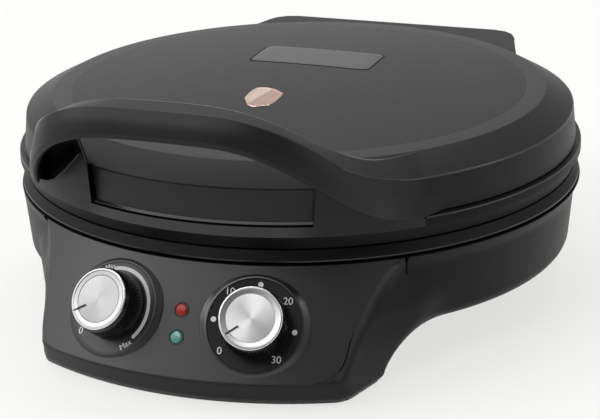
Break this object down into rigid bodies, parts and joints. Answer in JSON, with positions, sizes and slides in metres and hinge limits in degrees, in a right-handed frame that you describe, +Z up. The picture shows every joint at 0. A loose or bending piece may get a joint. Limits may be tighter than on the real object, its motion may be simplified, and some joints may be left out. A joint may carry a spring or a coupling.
{
  "type": "countertop pizza maker",
  "caption": "Round electric countertop baker with a domed hinged lid, arched front handle, and a sloped control panel with temperature and timer knobs.",
  "frame": {"origin": "middle of the object's box in X and Y, at the table under the feet", "axes": "+X to the right of someone facing the controls, +Y from the controls to the hinge, +Z up"},
  "size_m": [0.345, 0.4125, 0.1678],
  "materials": {
    "shell_plastic": "fine-grained dark grey plastic",
    "inset_plastic": "smooth dark grey plastic",
    "panel_plastic": "fine-grained dark grey plastic",
    "rim_plastic": "matte",
    "hinge_plastic": "matte",
    "control_plastic": "satin",
    "control_ceramic": "satin",
    "badge_metal": "satin",
    "screw_steel": "satin",
    "element_steel": "satin",
    "clamp_aluminium": "satin",
    "shield_metal": "satin",
    "nonstick": "non-stick coated",
    "foot_rubber": "matte",
    "gland_rubber": "matte",
    "dial_black": "matte",
    "knob_black": "gloss",
    "spun_aluminium": "spun",
    "red_lens": "gloss",
    "green_lens": "gloss",
    "lamp_glass": "clear"
  },
  "bodies": {
    "base": {"base_shell": "shell_plastic", "leg_cover": "shell_plastic", "control_panel": "panel_plastic", "lower_rim_ring": "rim_plastic", "cover_screws": "screw_steel", "terminal_screws": "screw_steel", "panel_nuts": "screw_steel", "hinge_pins": "screw_steel", "lower_plate": "nonstick", "lower_element": "element_steel", "lower_clamps": "clamp_aluminium", "lower_heat_shield": "shield_metal", "base_hinge_brackets": "hinge_plastic", "rubber_feet": "foot_rubber", "temp_dial_plate": "dial_black", "timer_dial_plate": "dial_black", "thermostat": "control_ceramic", "timer_mechanism": "control_plastic", "red_lamp_lens": "red_lens", "green_lamp_lens": "green_lens", "neon_lamps": "lamp_glass", "lamp_holder": "control_plastic", "terminal_block": "control_ceramic", "cord_gland": "gland_rubber"},
    "lid": {"lid_shell": "shell_plastic", "lid_inset_plate": "inset_plastic", "lid_badge": "badge_metal", "lid_handle": "shell_plastic", "lid_fascia": "panel_plastic", "upper_rim_ring": "rim_plastic", "rim_screws": "screw_steel", "upper_plate": "nonstick", "upper_element": "element_steel", "upper_clamps": "clamp_aluminium", "upper_heat_shield": "shield_metal", "lid_hinge_cover": "shell_plastic", "lid_hinge_arms": "hinge_plastic"},
    "temp_knob": {"temp_knob_body": "knob_black", "temp_knob_cap": "spun_aluminium", "temp_shaft": "screw_steel"},
    "timer_knob": {"timer_knob_body": "knob_black", "timer_knob_cap": "spun_aluminium", "timer_shaft": "screw_steel"}
  },
  "joints": [
    {"name": "lid_hinge", "type": "hinge", "parent": "base", "child": "lid", "pos_m": [0, 0.19315, 0.08], "axis": [-1, 0, 0], "range_deg": [0, 95]},
    {"name": "temp_knob_turn", "type": "hinge", "parent": "base", "child": "temp_knob", "pos_m": [-0.04115, -0.17648, 0.043], "axis": [0.1799, 0.8114, -0.5562], "range_deg": [0, 270]},
    {"name": "timer_knob_turn", "type": "hinge", "parent": "base", "child": "timer_knob", "pos_m": [0.04115, -0.17648, 0.043], "axis": [-0.1799, 0.8114, -0.5562], "range_deg": [0, 270]}
  ]
}
